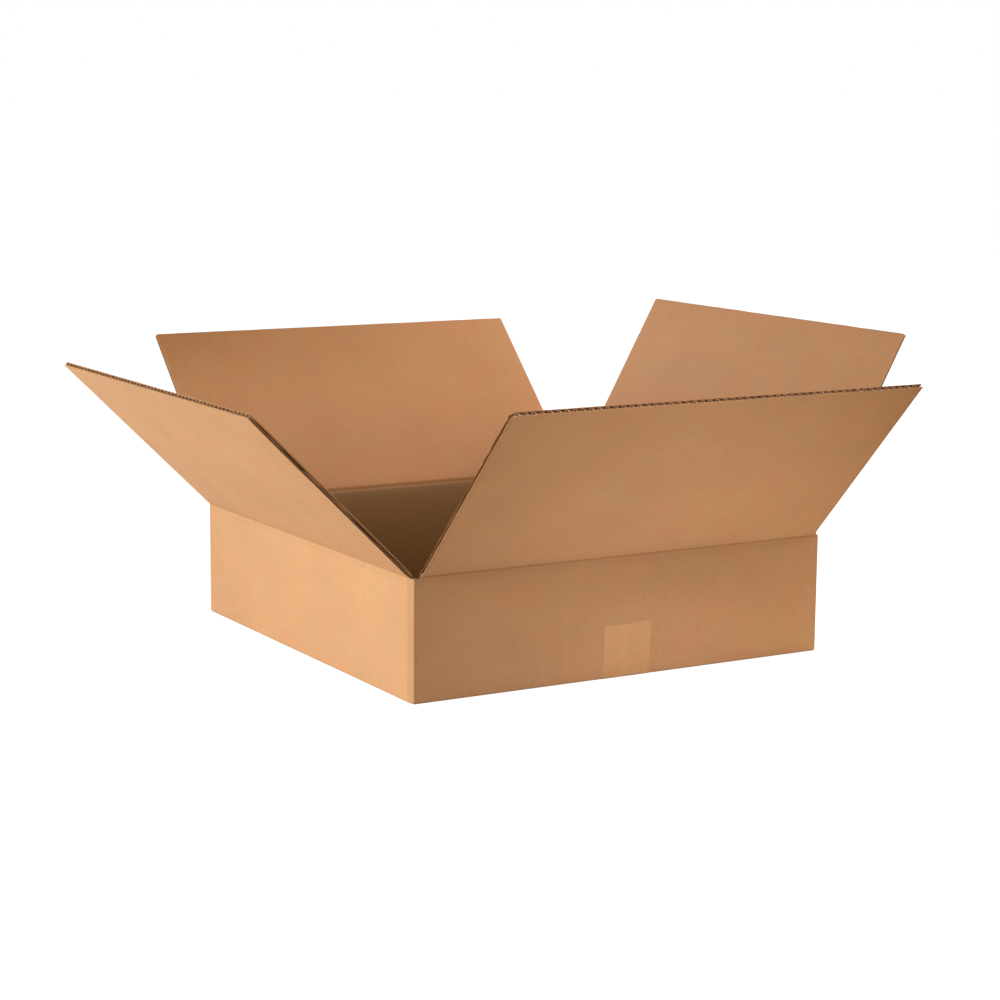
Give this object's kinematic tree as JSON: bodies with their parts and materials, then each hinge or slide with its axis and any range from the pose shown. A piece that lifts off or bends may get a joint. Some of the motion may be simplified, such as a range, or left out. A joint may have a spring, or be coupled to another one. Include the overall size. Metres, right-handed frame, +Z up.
{
  "type": "open shallow cardboard box",
  "caption": "Shallow square corrugated cardboard carton, standing open, with hinged top flaps and a taped bottom.",
  "frame": {"origin": "centre of the underside, on the surface that the carton stands on", "axes": "+Z up; +Y from the front wall, the one facing the viewer's right in the picture, to the back wall; +X along the front wall to the right"},
  "size_m": [0.6977, 0.7473, 0.3017],
  "materials": {
    "kraft_board": "matte brown kraft corrugated board",
    "tan_tape": "satin tan packing tape"
  },
  "bodies": {
    "carton": {"carton_body": "kraft_board", "bottom_tape": "tan_tape"},
    "front_flap": {"front_flap": "kraft_board"},
    "left_flap": {"left_flap": "kraft_board"},
    "back_flap": {"back_flap": "kraft_board"},
    "right_flap": {"right_flap": "kraft_board"}
  },
  "joints": [
    {"name": "front_crease", "type": "hinge", "parent": "carton", "child": "front_flap", "pos_m": [0, -0.2199, 0.1139], "axis": [1, 0, 0], "range_deg": [-133.5, 76.5]},
    {"name": "left_crease", "type": "hinge", "parent": "carton", "child": "left_flap", "pos_m": [-0.2159, 0, 0.1142], "axis": [0, -1, 0], "range_deg": [-135.5, 74.5]},
    {"name": "back_crease", "type": "hinge", "parent": "carton", "child": "back_flap", "pos_m": [0, 0.2199, 0.1139], "axis": [-1, 0, 0], "range_deg": [-135.5, 74.5]},
    {"name": "right_crease", "type": "hinge", "parent": "carton", "child": "right_flap", "pos_m": [0.2159, 0, 0.1142], "axis": [0, 1, 0], "range_deg": [-119.5, 90.5]}
  ]
}
